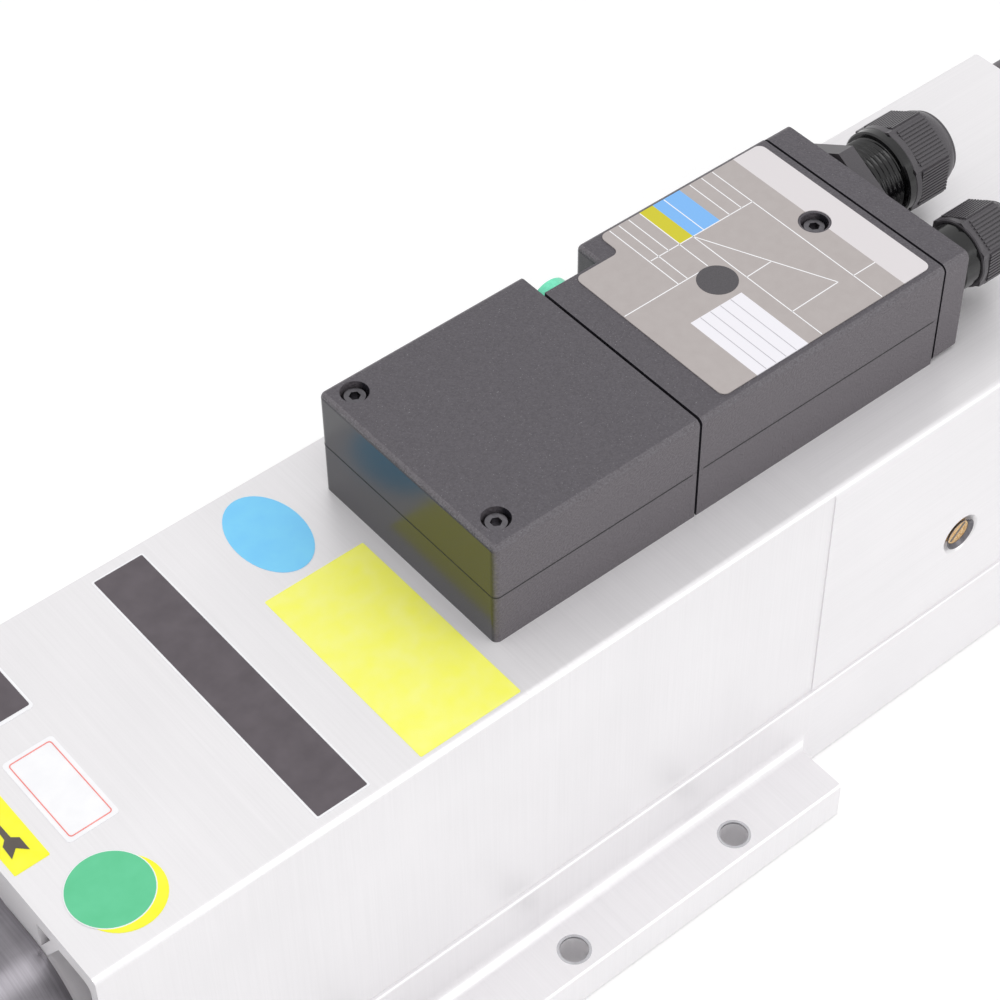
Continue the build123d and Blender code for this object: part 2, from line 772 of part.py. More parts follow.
with BuildPart() as front_box_base:
    with BuildSketch(Plane.XY.offset(body_height)) as outline:
        with Locations((front_box_start, box_near)):
            Rectangle(front_box_length, box_width, align=Align.MIN)
        fillet(outline.vertices().group_by(Axis.X)[0], radius=box_edge_radius)
    extrude(amount=box_base_height)
    with BuildSketch(Plane.XY.offset(body_height + box_floor)):
        with Locations((front_box_start + box_wall, box_near + box_wall)):
            Rectangle(front_box_length - 2 * box_wall, box_width - 2 * box_wall, align=Align.MIN)
    extrude(amount=box_base_height, mode=Mode.SUBTRACT)
    with BuildSketch(Plane.XY.offset(body_height)):
        for screw_y in (front_lid_screw_near, front_lid_screw_far):
            with Locations((front_box_start + lid_screw_inset, screw_y)):
                Rectangle(screw_post_width, screw_post_width)
    extrude(amount=box_base_height)
front_box_base.part.label = "front_box_base"
export_step(front_box_base.part, "parts/front_box_base.step")

with BuildPart() as front_box_lid:
    with BuildSketch(Plane.XY.offset(lid_bottom)):
        with Locations((front_box_start, box_near)):
            Rectangle(front_box_length, box_width, align=Align.MIN)
    extrude(amount=box_lid_height)
    top_rim = front_box_lid.faces().sort_by(Axis.Z)[-1].edges().sort_by(Axis.X)
    front_corners = front_box_lid.edges().filter_by(Axis.Z).group_by(Axis.X)[0]
    fillet([*top_rim[:-1], *front_corners], radius=box_edge_radius)
    with BuildSketch(Plane.XY.offset(lid_bottom)):
        with Locations((front_box_start + box_wall, box_near + box_wall)):
            Rectangle(front_box_length - 2 * box_wall, box_width - 2 * box_wall, align=Align.MIN)
    extrude(amount=box_lid_height - box_wall, mode=Mode.SUBTRACT)
    with BuildSketch(Plane.XY.offset(lid_bottom)):
        for screw_y in (front_lid_screw_near, front_lid_screw_far):
            with Locations((front_box_start + lid_screw_inset, screw_y)):
                Rectangle(screw_post_width, screw_post_width)
    extrude(amount=box_lid_height - box_wall)
    with Locations(Plane.XY.offset(lid_top)):
        with Locations(
            (front_box_start + lid_screw_inset, front_lid_screw_near),
            (front_box_start + lid_screw_inset, front_lid_screw_far),
        ):
            Hole(radius=lid_screw_head_radius, depth=lid_screw_head_depth)
front_box_lid.part.label = "front_box_lid"
export_step(front_box_lid.part, "parts/front_box_lid.step")

# The rear box is open toward the gland plate, and its lid is notched for the release button.
rear_screw_x = rear_box_end - rear_lid_screw_inset
notched_room = (
    (rear_box_start + box_wall, box_near + box_wall),
    (rear_box_end + box_wall, box_near + box_wall),
    (rear_box_end + box_wall, box_far - box_wall),
    (notch_x + box_wall, box_far - box_wall),
    (notch_x + box_wall, notch_y - box_wall),
    (rear_box_start + box_wall, notch_y - box_wall),
)
with BuildPart() as rear_box_base:
    with BuildSketch(Plane.XY.offset(body_height)):
        with Locations((rear_box_start, box_near)):
            Rectangle(rear_box_length, box_width, align=Align.MIN)
    extrude(amount=box_base_height)
    with BuildSketch(Plane.XY.offset(body_height + box_floor)):
        with BuildLine():
            Polyline(*notched_room, close=True)
        make_face()
    extrude(amount=box_base_height, mode=Mode.SUBTRACT)
    with BuildSketch(Plane.XY.offset(body_height)):
        with Locations((rear_screw_x, rear_lid_screw_y)):
            Rectangle(screw_post_width, screw_post_width)
    extrude(amount=box_base_height)
    with Locations(Location((rear_box_start + cable_hole_inset, 0, box_rim))):
        Hole(radius=cable_hole_radius, depth=box_base_height)
rear_box_base.part.label = "rear_box_base"
export_step(rear_box_base.part, "parts/rear_box_base.step")

button_x = rear_box_start + button_inset
button_z = lid_bottom + button_height
button_plane = Plane(origin=(button_x, 0, button_z), x_dir=(1, 0, 0), z_dir=(0, 1, 0))
stem_window = button_stem_width + 2 * running_gap
with BuildPart() as rear_box_lid:
    with BuildSketch(Plane.XY.offset(lid_bottom)) as outline:
        with BuildLine():
            Polyline(
                (rear_box_start, box_near),
                (rear_box_end, box_near),
                (rear_box_end, box_far),
                (notch_x, box_far),
                (notch_x, notch_y),
                (rear_box_start, notch_y),
                close=True,
            )
        make_face()
        notch_corner = outline.vertices().group_by(Axis.Y)[-1].sort_by(Axis.X)[0]
        fillet(notch_corner, radius=box_edge_radius)
    extrude(amount=box_lid_height)
    side_rims = rear_box_lid.faces().sort_by(Axis.Z)[-1].edges().filter_by(Axis.X).sort_by(Axis.Y)
    fillet([side_rims[0], side_rims[-1]], radius=box_edge_radius)
    with BuildSketch(Plane.XY.offset(lid_bottom)):
        with BuildLine():
            Polyline(*notched_room, close=True)
        make_face()
    extrude(amount=box_lid_height - box_wall, mode=Mode.SUBTRACT)
    with BuildSketch(Plane.XY.offset(lid_bottom)):
        with Locations((rear_screw_x, rear_lid_screw_y)):
            Rectangle(screw_post_width, screw_post_width)
    extrude(amount=box_lid_height - box_wall)
    with Locations(Location((rear_screw_x, rear_lid_screw_y, lid_top))):
        Hole(radius=lid_screw_head_radius, depth=lid_screw_head_depth)
    with BuildSketch(button_plane.offset(notch_y)):
        Rectangle(stem_window, stem_window)
    extrude(amount=-2 * box_wall, mode=Mode.SUBTRACT)
rear_box_lid.part.label = "rear_box_lid"
export_step(rear_box_lid.part, "parts/rear_box_lid.step")

# Release button: a round head on a square stem that slides through the notch's wall.
button_back_y = notch_y + button_stroke + running_gap
stem_end_y = notch_y - box_wall - running_gap
with BuildPart() as release_button:
    with BuildSketch(button_plane.offset(button_back_y)):
        Circle(button_radius)
    extrude(amount=button_head_length)
    with BuildSketch(button_plane.offset(stem_end_y)):
        Rectangle(button_stem_width, button_stem_width)
    extrude(amount=button_back_y - stem_end_y)
release_button.part.label = "release_button"
export_step(release_button.part, "parts/release_button.step")

switch_face_y = notch_y - box_wall - seat_gap
with BuildPart() as release_switch:
    with BuildSketch(button_plane.offset(switch_face_y)):
        Rectangle(switch_width, switch_height)
    extrude(amount=-switch_length)
    with BuildSketch(button_plane.offset(switch_face_y)):
        Rectangle(stem_window, stem_window)
    extrude(amount=-switch_pocket, mode=Mode.SUBTRACT)
release_switch.part.label = "release_switch"
export_step(release_switch.part, "parts/release_switch.step")

with BuildPart() as terminal_block:
    block_x = rear_box_start + terminal_block_inset
    with BuildSketch(Plane.XY.offset(body_height + box_floor)):
        with Locations((block_x, box_middle_y)):
            Rectangle(terminal_block_length, terminal_block_width, align=(Align.MIN, Align.CENTER))
    extrude(amount=terminal_block_height)
    block_middle = block_x + terminal_block_length / 2
    with BuildSketch(Plane.XY.offset(body_height + box_floor + terminal_block_height)):
        with Locations((block_middle, box_middle_y)):
            with GridLocations(terminal_slot_pitch, 1, terminal_slots, 1):
                Rectangle(terminal_slot_width, terminal_block_width)
    extrude(amount=-terminal_slot_depth, mode=Mode.SUBTRACT)
terminal_block.part.label = "terminal_block"
export_step(terminal_block.part, "parts/terminal_block.step")

# ================================================================ gland plate and glands
plate_bottom = body_height + gland_plate_lift
plate_middle_z = (plate_bottom + lid_top) / 2
with BuildPart() as gland_plate_gasket:
    with BuildSketch(section(rear_box_end + seat_gap, box_middle_y, plate_middle_z)):
        Rectangle(box_width - 2 * gasket_inset, lid_top - plate_bottom - 2 * gasket_inset)
        Rectangle(
            box_width - 2 * gasket_inset - 2 * gasket_width,
            lid_top - plate_bottom - 2 * gasket_inset - 2 * gasket_width,
            mode=Mode.SUBTRACT,
        )
    extrude(amount=gasket_thickness)
gland_plate_gasket.part.label = "gland_plate_gasket"
export_step(gland_plate_gasket.part, "parts/gland_plate_gasket.step")

gland_z = body_height + gland_height
with BuildPart() as gland_plate:
    with BuildSketch(section(gland_plate_x, box_middle_y, plate_middle_z)):
        RectangleRounded(box_width, lid_top - plate_bottom, gland_plate_radius)
    extrude(amount=gland_plate_thickness)
    with BuildSketch(section(gland_plate_x, 0, gland_z)):
        with Locations((large_gland_y, 0)):
            Circle(large_gland_thread + nest_gap)
        with Locations((small_gland_y, 0)):
            Circle(small_gland_thread + nest_gap)
    extrude(amount=gland_plate_thickness, mode=Mode.SUBTRACT)
gland_plate.part.label = "gland_plate"
export_step(gland_plate.part, "parts/gland_plate.step")


def gland_disc(start, end, radius, y, mode=Mode.ADD):
    """Round step of a cable gland between two stations."""
    with BuildSketch(section(start, y, gland_z)) as face:
        Circle(radius)
    extrude(face.sketch, amount=end - start, mode=mode)


def gland_hexagon(start, length, flats, y):
    """Hexagon of a cable gland, flats up and down."""
    with BuildSketch(section(start, y, gland_z)) as face:
        RegularPolygon(flats / 2, 6, major_radius=False, rotation=30)
    extrude(face.sketch, amount=length)


def gland_body(thread_end, thread, hexagon, hexagon_length, bore, y):
    """Threaded tube through the plate with its hexagon."""
    gland_disc(gland_shank_x, thread_end, thread, y)
    gland_hexagon(gland_hex_x, hexagon_length, hexagon, y)
    gland_disc(gland_shank_x, thread_end, bore, y, mode=Mode.SUBTRACT)


def gland_nut(start, hexagon, length, crown, crown_length, thread, thread_end, entry, y):
    """Cap nut: hexagon and crown, bored for the thread and for the cable."""
    end = start + length + crown_length
    gland_hexagon(start, length, hexagon, y)
    gland_disc(start + length, end, crown, y)
    gland_disc(start, thread_end + running_gap, thread + nest_gap, y, mode=Mode.SUBTRACT)
    gland_disc(start, end, entry, y, mode=Mode.SUBTRACT)


with BuildPart() as gland_bodies:
    gland_body(
        large_thread_end_x,
        large_gland_thread,
        large_gland_hex,
        large_gland_hex_length,
        large_gland_bore,
        large_gland_y,
    )
    gland_body(
        small_thread_end_x,
        small_gland_thread,
        small_gland_hex,
        small_gland_hex_length,
        small_gland_bore,
        small_gland_y,
    )
gland_bodies.part.label = "gland_bodies"
export_step(gland_bodies.part, "parts/gland_bodies.step")

with BuildPart() as gland_nuts:
    gland_nut(
        large_nut_x,
        large_gland_nut_hex,
        large_gland_nut_length,
        large_gland_crown,
        large_gland_crown_length,
        large_gland_thread,
        large_thread_end_x,
        large_gland_entry,
        large_gland_y,
    )
    gland_nut(
        small_nut_x,
        small_gland_nut_hex,
        small_gland_nut_length,
        small_gland_crown,
        small_gland_crown_length,
        small_gland_thread,
        small_thread_end_x,
        small_gland_entry,
        small_gland_y,
    )
gland_nuts.part.label = "gland_nuts"
export_step(gland_nuts.part, "parts/gland_nuts.step")
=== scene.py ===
# %% [markdown]
# # Motor spindle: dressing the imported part
# The solids of the spindle come ready made, with their joints. This lesson gives each of them a
# finish, adds the small things that are too fine for the solids, lights the scene and sets the
# camera. X runs along the spindle axis with the nose towards -X, and Z is up. The frame is in
# metres, and the sizes of the pieces made here are written in millimetres.

# %% Load the frame
import json
from math import cos, pi, radians, sin

import bmesh
import bpy
from mathutils import Matrix, Vector

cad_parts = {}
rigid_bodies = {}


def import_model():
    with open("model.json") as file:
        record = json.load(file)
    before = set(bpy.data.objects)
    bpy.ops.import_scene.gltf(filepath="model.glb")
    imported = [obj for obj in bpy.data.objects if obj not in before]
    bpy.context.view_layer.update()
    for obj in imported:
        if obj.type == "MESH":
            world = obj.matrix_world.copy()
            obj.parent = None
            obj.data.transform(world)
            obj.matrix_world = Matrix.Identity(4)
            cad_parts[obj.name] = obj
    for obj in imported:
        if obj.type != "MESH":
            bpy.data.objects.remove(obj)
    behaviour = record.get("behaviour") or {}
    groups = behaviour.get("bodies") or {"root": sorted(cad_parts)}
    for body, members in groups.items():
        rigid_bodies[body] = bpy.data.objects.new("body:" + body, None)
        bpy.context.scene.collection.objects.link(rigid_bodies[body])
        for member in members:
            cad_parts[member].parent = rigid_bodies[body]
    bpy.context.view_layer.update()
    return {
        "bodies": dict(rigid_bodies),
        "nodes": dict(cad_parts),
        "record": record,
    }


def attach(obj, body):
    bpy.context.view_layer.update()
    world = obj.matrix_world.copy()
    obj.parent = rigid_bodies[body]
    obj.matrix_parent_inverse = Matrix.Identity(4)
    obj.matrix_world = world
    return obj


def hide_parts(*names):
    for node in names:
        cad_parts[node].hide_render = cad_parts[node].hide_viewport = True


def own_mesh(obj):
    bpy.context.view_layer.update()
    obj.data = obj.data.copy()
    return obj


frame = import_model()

MM = 0.001


def corners(node):
    """Lowest and highest corner of a solid's box, in millimetres."""
    solid = frame["nodes"][node]
    points = [solid.matrix_world @ Vector(corner) for corner in solid.bound_box]
    return [
        [round(pick(point[axis] for point in points) / MM, 1) for axis in range(3)]
        for pick in (min, max)
    ]


deck = corners("spindle_body")[1][2]
lid_top = corners("rear_box_lid")[1][2]
axis_height = 63.5
print("bodies:", ", ".join(sorted(frame["bodies"])))
print("heights of deck and lids, mm:", deck, lid_top)

# %% [markdown]
# ## The camera
# The spindle is seen from high above its nose end, with a long lens from about 0.8 m. The three
# directions of the camera are unit vectors in the part's own frame, and a camera looks along its
# own -Z, so the matrix takes right, up and backwards as its columns.

# %% Camera
right = Vector((0.77013, -0.63783, -0.00837))
up = Vector((0.47450, 0.56405, 0.67579))
backwards = Vector((-0.42632, -0.52442, 0.73704))
camera_data = bpy.data.cameras.new("camera")
camera_data.lens = 94.4
camera_data.sensor_width = 36.0
camera_data.clip_start = 0.01
camera = bpy.data.objects.new("camera", camera_data)
bpy.context.collection.objects.link(camera)
turn = Matrix((right, up, backwards)).transposed().to_4x4()
camera.matrix_world = Matrix.Translation((-0.2542, -0.3922, 0.6818)) @ turn
bpy.context.scene.camera = camera
bpy.context.scene.view_settings.view_transform = "Standard"
print("camera at", tuple(round(v, 3) for v in camera.location))

# %% [markdown]
# ## Writing shader maths as Python
# A material is a tree of nodes. Drawing it by hand is slow, so `Wire` wraps one output of one
# node and lets us write sums with it: each operator adds the Math node that does the sum. Any
# other node comes from `Finish.node`.

# %% Wires and finishes
class Wire:
    """One output socket of a finish's node tree, usable in Python sums."""

    def __init__(self, finish, socket):
        self.finish = finish
        self.socket = socket

    def sum(self, operation, *terms):
        settings = {"operation": operation}
        return self.finish.node("ShaderNodeMath", settings, dict(enumerate(terms)))

    def __add__(self, other):
        return self.sum("ADD", self, other)

    def __mul__(self, other):
        return self.sum("MULTIPLY", self, other)

    def __gt__(self, other):
        return self.sum("GREATER_THAN", self, other)

    def __lt__(self, other):
        return self.sum("LESS_THAN", self, other)

    def __rsub__(self, other):
        return self.sum("SUBTRACT", other, self)


class Finish:
    """A material: one Principled surface and the nodes that drive it."""

    def __init__(self, name, **constants):
        self.material = bpy.data.materials.new(name)
        self.material.use_nodes = True
        self.tree = self.material.node_tree
        self.shader = self.tree.nodes["Principled BSDF"]
        for label, value in constants.items():
            self.shader.inputs[label.replace("_", " ").title()].default_value = value

    def node(self, kind, settings, sockets, output=0):
        """Add a node, set it up, feed its sockets and give back one of its outputs."""
        made = self.tree.nodes.new(kind)
        for key, value in settings.items():
            setattr(made, key, value)
        for key, value in sockets.items():
            self.join(value, made.inputs[key])
        return Wire(self, made.outputs[output])

    def join(self, value, socket):
        """Feed a socket with a wire, or leave a plain value in it."""
        if isinstance(value, Wire):
            self.tree.links.new(value.socket, socket)
        else:
            socket.default_value = value

    def drive(self, label, value):
        """Let a value that varies over the surface feed one of the shader's sockets."""
        self.join(value, self.shader.inputs[label])

    def place(self):
        """Position on the part, in millimetres."""
        point = self.node("ShaderNodeTexCoord", {}, {}, "Object")
        return self.node(
            "ShaderNodeVectorMath", {"operation": "SCALE"}, {0: point, "Scale": 1 / MM}
        )

    def facing(self):
        """Direction that the surface faces, as a unit vector."""
        return self.node("ShaderNodeNewGeometry", {}, {}, "Normal")

    def axes(self, vector):
        """The x, y and z parts of a vector."""
        split = self.node("ShaderNodeSeparateXYZ", {}, {0: vector}).socket.node
        return [Wire(self, output) for output in split.outputs]

    def stretched(self, vector, along):
        """The same position, squeezed differently along each axis."""
        return self.node(
            "ShaderNodeVectorMath", {"operation": "MULTIPLY"}, {0: vector, 1: along}
        )

    def noise(self, vector, scale, detail, roughness=0.55):
        """Cloudy noise from 0 to 1, finer as its scale grows."""
        return self.node(
            "ShaderNodeTexNoise",
            {},
            {"Vector": vector, "Scale": scale, "Detail": detail, "Roughness": roughness},
        )

    def blend(self, mask, low, high):
        """Colour that goes from low to high as mask goes from 0 to 1."""
        return self.node("ShaderNodeMix", {"data_type": "RGBA"}, {0: mask, 6: low, 7: high}, 2)

    def ramp(self, value, low, high, start, end):
        """Value taken from one range to another, held at both ends."""
        return self.node(
            "ShaderNodeMapRange",
            {"clamp": True},
            {0: value, 1: low, 2: high, 3: start, 4: end},
        )

    def bump(self, height, strength, distance):
        """Normal of a surface that a height pushes in and out, by a distance in metres."""
        return self.node(
            "ShaderNodeBump",
            {},
            {"Height": height, "Strength": strength, "Distance": distance},
        )


def rgb(red, green, blue):
    """A colour written with 0 to 255 as it shows on screen, turned into linear light."""
    linear = []
    for part in (red, green, blue):
        part = part / 255
        linear.append(part / 12.92 if part <= 0.04045 else ((part + 0.055) / 1.055) ** 2.4)
    return (*linear, 1.0)


finishes = {}
print("black, mid grey and white in linear light:", [round(rgb(v, v, v)[0], 3) for v in (0, 128, 255)])

# %% [markdown]
# ## Aluminium
# The body is an aluminium extrusion with a satin skin: nearly white, softly reflecting, with very fine
# draw lines along its length. The front part has been milled, so there its lines cross the length. One
# noise, squeezed hard along one axis, makes either kind of line. The rounded edges carry a painted
# highlight: they are made more metallic, so they catch the edge lamp as a bright band. The normal
# finds them: it is neither level nor upright there.

# %% Satin aluminium of the body
def satin_aluminium():
    milled_end = 142.3
    skin = Finish("satin_aluminium")
    point = skin.place()
    x = skin.axes(point)[0]
    upward = skin.axes(skin.facing())[2]
    # Painted highlight: the rounded edges are made more metallic so that they shine as a bright band.
    edge = skin.ramp(upward, 0.20, 0.45, 0.0, 1.0) * skin.ramp(upward, 0.99, 0.94, 0.0, 1.0)
    skin.drive("Metallic", skin.ramp(edge, 0.0, 1.0, 0.22, 0.72))
    draw_lines = skin.noise(skin.stretched(point, (0.01, 2.2, 2.2)), 1.0, 2.0)
    milled = skin.noise(skin.stretched(point, (1.6, 0.02, 0.02)), 1.0, 2.0)
    clouds = skin.noise(point, 0.02, 2.0)
    front = skin.ramp(x, milled_end - 0.1, milled_end + 0.1, 1.0, 0.0)
    lines = front * milled + (1 - front) * draw_lines
    tone = skin.ramp(lines * 0.5 + clouds * 0.5, 0.3, 0.7, 0.0, 1.0)
    skin.drive("Base Color", skin.blend(tone, rgb(232, 230, 232), rgb(239, 237, 239)))
    skin.drive("Roughness", skin.ramp(lines, 0.3, 0.7, 0.30, 0.38))
    skin.drive("Normal", skin.bump(lines, 0.05, 0.0002))
    return skin


finishes["body"] = satin_aluminium()

# %% [markdown]
# ## Metal off a lathe
# Turned, ground and blackened steels differ only in tone and polish, so one recipe serves them:
# fine rings along the axis, and slow clouds that keep any one face from looking flat.

# %% Turned, ground and blackened metals
def turned_metal(name, dark, pale, rough, ring_pitch=0.6):
    """Metal off a lathe: fine rings along the axis, a little uneven in tone."""
    skin = Finish(name, metallic=1.0)
    point = skin.place()
    rings = skin.noise(skin.stretched(point, (1 / ring_pitch, 0.03, 0.03)), 1.0, 2.0)
    clouds = skin.noise(point, 0.08, 3.0)
    tone = skin.ramp(rings * 0.5 + clouds * 0.5, 0.3, 0.7, 0.0, 1.0)
    skin.drive("Base Color", skin.blend(tone, dark, pale))
    skin.drive("Roughness", skin.ramp(clouds, 0.3, 0.7, rough - 0.05, rough + 0.07))
    skin.drive("Normal", skin.bump(rings, 0.12, 0.0002))
    return skin


for slot_name, dark, pale, rough in (
    ("dark_steel", rgb(116, 113, 118), rgb(142, 139, 144), 0.30),
    ("bearing_steel", rgb(190, 191, 194), rgb(212, 213, 215), 0.20),
    ("shaft_steel", rgb(168, 169, 172), rgb(190, 191, 193), 0.26),
    ("spring_steel", rgb(96, 95, 98), rgb(124, 122, 124), 0.38),
    ("inner_aluminium", rgb(196, 197, 199), rgb(218, 218, 219), 0.30),
    ("screw_steel", rgb(86, 84, 88), rgb(118, 116, 120), 0.30),
):
    finishes[slot_name] = turned_metal(slot_name, dark, pale, rough)
finishes["laminations"] = turned_metal(
    "laminations", rgb(104, 106, 112), rgb(142, 144, 148), 0.45, 0.3
)

# %% [markdown]
# ## Copper and bronze
# The windings are varnished copper strands: the noise is stretched along the strands and the
# varnish is a clear coat. The vent plug is bronze grains baked together, which a Voronoi pattern
# draws well, since each of its cells is one grain.

# %% Copper and bronze
def varnished_copper():
    skin = Finish("varnished_copper", metallic=0.7, roughness=0.35, coat_weight=0.5)
    point = skin.place()
    strands = skin.noise(skin.stretched(point, (1.4, 0.15, 0.15)), 1.0, 4.0)
    skin.drive("Base Color", skin.blend(strands, rgb(120, 62, 30), rgb(214, 130, 72)))
    skin.drive("Normal", skin.bump(strands, 0.6, 0.0006))
    return skin


def sintered_bronze():
    skin = Finish("sintered_bronze", metallic=0.6)
    point = skin.place()
    grains = skin.node("ShaderNodeTexVoronoi", {}, {"Vector": point, "Scale": 1.6})
    tone = skin.ramp(grains, 0.0, 0.8, 0.0, 1.0)
    skin.drive("Base Color", skin.blend(tone, rgb(255, 230, 184), rgb(208, 164, 108)))
    skin.drive("Roughness", skin.ramp(tone, 0.0, 1.0, 0.35, 0.6))
    skin.drive("Normal", skin.bump(1 - tone, 0.5, 0.0004))
    return skin


finishes["copper"] = varnished_copper()
finishes["bronze"] = sintered_bronze()
print("metals:", len(finishes))

# %% [markdown]
# ## The terminal box
# The box is dark grey plastic. Its top is fine grained with pale specks, its rounded rims are scuffed
# rough and lighter, its sides are grained, and its front end is smooth enough to mirror the labels in
# front of it. Each face also gets its own colour: the top is painted a little darker than the sides,
# and the front end much darker, which is painted shade. The normal tells these faces apart, so one
# material serves them all.

# %% Grained box
def grained_box():
    skin = Finish("grained_box")
    point = skin.place()
    facing = skin.axes(skin.facing())
    rearward, upward = facing[0], facing[2]
    top = skin.ramp(upward, 0.93, 0.98, 0.0, 1.0)
    rim = skin.ramp(upward, 0.15, 0.45, 0.0, 1.0) * (1 - top)
    front = skin.ramp(rearward, -0.7, -0.95, 0.0, 1.0)
    grain = skin.noise(point, 1.5, 2.0, 0.5)
    scuff = skin.noise(skin.stretched(point, (1.8, 2.6, 2.6)), 1.0, 4.0, 0.7)
    specks = skin.ramp(skin.noise(point, 2.6, 1.0), 0.70, 0.76, 0.0, 1.0)
    tone = skin.ramp(grain, 0.35, 0.65, 0.0, 1.0)
    side = skin.blend(tone, rgb(88, 83, 88), rgb(104, 99, 104))
    # Painted shade: the front end and the top are given darker colours than the sides, though all are
    # the same plastic.
    colour = skin.blend(front, side, rgb(42, 41, 47))
    colour = skin.blend(top, colour, skin.blend(tone, rgb(76, 72, 78), rgb(87, 83, 89)))
    colour = skin.blend(rim * skin.ramp(scuff, 0.42, 0.62, 0.0, 1.0), colour, rgb(116, 113, 118))
    colour = skin.blend(specks * (top + rim) * 0.6, colour, rgb(170, 168, 172))
    skin.drive("Base Color", colour)
    skin.drive("Roughness", skin.ramp(front, 0.0, 1.0, 0.44, 0.20) + grain * 0.08)
    height = (1 - front) * (tone * 0.6 + rim * scuff * 2.0)
    skin.drive("Normal", skin.bump(height, 0.6, 0.0004))
    return skin


finishes["box"] = grained_box()

# %% [markdown]
# ## Plain mouldings
# Covers, glands and small plastic parts share one recipe, with a faint speckle in colour, polish
# and height. What tells them apart is how dark they are and how much they shine.

# %% Plain mouldings
def moulded(name, colour, shade, rough, grain, depth):
    skin = Finish(name)
    speckle = skin.noise(skin.place(), grain, 3.0)
    tone = skin.ramp(speckle, 0.35, 0.65, 0.0, 1.0)
    skin.drive("Base Color", skin.blend(tone, colour, shade))
    skin.drive("Roughness", skin.ramp(speckle, 0.3, 0.7, rough - 0.04, rough + 0.06))
    skin.drive("Normal", skin.bump(speckle, depth, 0.0003))
    return skin


for name, colour, shade, rough, grain, depth in (
    ("black_cover", rgb(84, 79, 84), rgb(94, 89, 94), 0.42, 2.5, 0.15),
    ("black_plastic", rgb(36, 35, 37), rgb(46, 45, 47), 0.45, 2.5, 0.15),
    ("terminal_plastic", rgb(196, 198, 190), rgb(210, 211, 204), 0.40, 2.5, 0.15),
    ("gland", rgb(72, 69, 73), rgb(82, 79, 83), 0.36, 3.0, 0.08),
    ("gloss_black", rgb(14, 14, 15), rgb(22, 22, 23), 0.14, 1.2, 0.03),
    ("seal_rubber", rgb(20, 20, 21), rgb(30, 30, 31), 0.60, 2.5, 0.15),
    ("green_button", rgb(118, 238, 196), rgb(130, 246, 206), 0.25, 0.8, 0.02),
    ("smoked_window", rgb(70, 67, 71), rgb(80, 77, 81), 0.36, 2.0, 0.05),
):
    finishes[name] = moulded(name, colour, shade, rough, grain, depth)
print("finishes:", ", ".join(finishes))

# %% [markdown]
# ## Dressing the solids
# Each solid has a slot in the part's record, and each slot has a finish here.

# %% Assign finishes to the solids
for subpart in frame["record"]["subparts"]:
    solid = frame["nodes"][subpart["node"]]
    solid.data.materials.clear()
    solid.data.materials.append(finishes[subpart["material_slot"]].material)

# %% [markdown]
# ## Small pieces from mesh code
# Labels, screws, threads and ribs are built from three makers. The first joins cross-sections
# into a closed skin, which makes screws, threads and everything turned on a lathe. Each piece is
# then settled: brought to metres, dressed, and told which body it rides on.

# %% Joining cross-sections
def settle(name, made, finish, body, smooth=None):
    """Turn a bmesh in millimetres into an object that is dressed and rides on a body."""
    bmesh.ops.scale(made, vec=(MM, MM, MM), verts=made.verts)
    bmesh.ops.recalc_face_normals(made, faces=made.faces)
    mesh = bpy.data.meshes.new(name)
    made.to_mesh(mesh)
    made.free()
    if smooth is not None:
        mesh.polygons.foreach_set("use_smooth", [True] * len(mesh.polygons))
        mesh.set_sharp_from_angle(angle=radians(smooth))
    thing = bpy.data.objects.new(name, mesh)
    bpy.context.collection.objects.link(thing)
    mesh.materials.append(finishes[finish].material)
    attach(thing, body)
    return thing


def add_skin(made, rings, ring_closes):
    """Add a skin through rings of equally many points, ending in caps or in its own start."""
    count = len(rings[0])
    levels = [[made.verts.new(point) for point in ring] for ring in rings]
    spans = len(levels) if ring_closes else len(levels) - 1
    for level in range(spans):
        low, high = levels[level], levels[(level + 1) % len(levels)]
        for step in range(count):
            after = (step + 1) % count
            made.faces.new((low[step], low[after], high[after], high[step]))
    if not ring_closes:
        made.faces.new(levels[0])
        made.faces.new(levels[-1])


def around(axis, centre, along, radius, steps, shape=None):
    """Ring of points around an axis through centre, at one station along it."""
    ring = []
    for step in range(steps):
        angle = 2 * pi * step / steps
        reach = radius * shape(angle) if shape else radius
        across, over = reach * cos(angle), reach * sin(angle)
        offset = {
            "x": (along, across, over),
            "y": (across, along, over),
            "z": (across, over, along),
        }[axis]
        ring.append(Vector(centre) + Vector(offset))
    return ring


def turned(name, axis, centre, profile, finish, body="housing", steps=48, smooth=35):
    """Body of revolution from a closed profile of (along, radius) points."""
    made = bmesh.new()
    rings = [around(axis, centre, along, radius, steps) for along, radius in profile]
    add_skin(made, rings, True)
    return settle(name, made, finish, body, smooth)


print("points in a ring of 48 steps:", len(around("z", (0, 0, 0), 0, 1, 48)))

# %% [markdown]
# ## Plates
# The second maker fills a flat outline, holes and all, and pulls it up into a thin plate. A corner
# is rounded by turning from where the arc leaves one side to where it meets the next.

# %% Plates from flat outlines
def rounded(sharp, radius, steps=6):
    """Outline with every corner rounded, from its sharp corners in turn."""
    outline = []
    count = len(sharp)
    for index in range(count):
        corner = Vector(sharp[index])
        before = (Vector(sharp[index - 1]) - corner).normalized()
        after = (Vector(sharp[(index + 1) % count]) - corner).normalized()
        half = before.angle(after) / 2
        reach = radius * cos(half) / sin(half)
        centre = corner + (before + after).normalized() * radius / sin(half)
        start = corner + before * reach - centre
        end = corner + after * reach - centre
        for step in range(steps + 1):
            outline.append(centre + start.slerp(end, step / steps) * radius)
    return [(p.x, p.y) for p in outline]


def oval(centre, radius_x, radius_y, steps=48):
    """Outline of an ellipse, or of a circle when both radii are the same."""
    turns = [2 * pi * step / steps for step in range(steps)]
    return [(centre[0] + radius_x * cos(t), centre[1] + radius_y * sin(t)) for t in turns]


def rectangle(x0, x1, y0, y1):
    """Four corners, in turn."""
    return [(x0, y0), (x1, y0), (x1, y1), (x0, y1)]


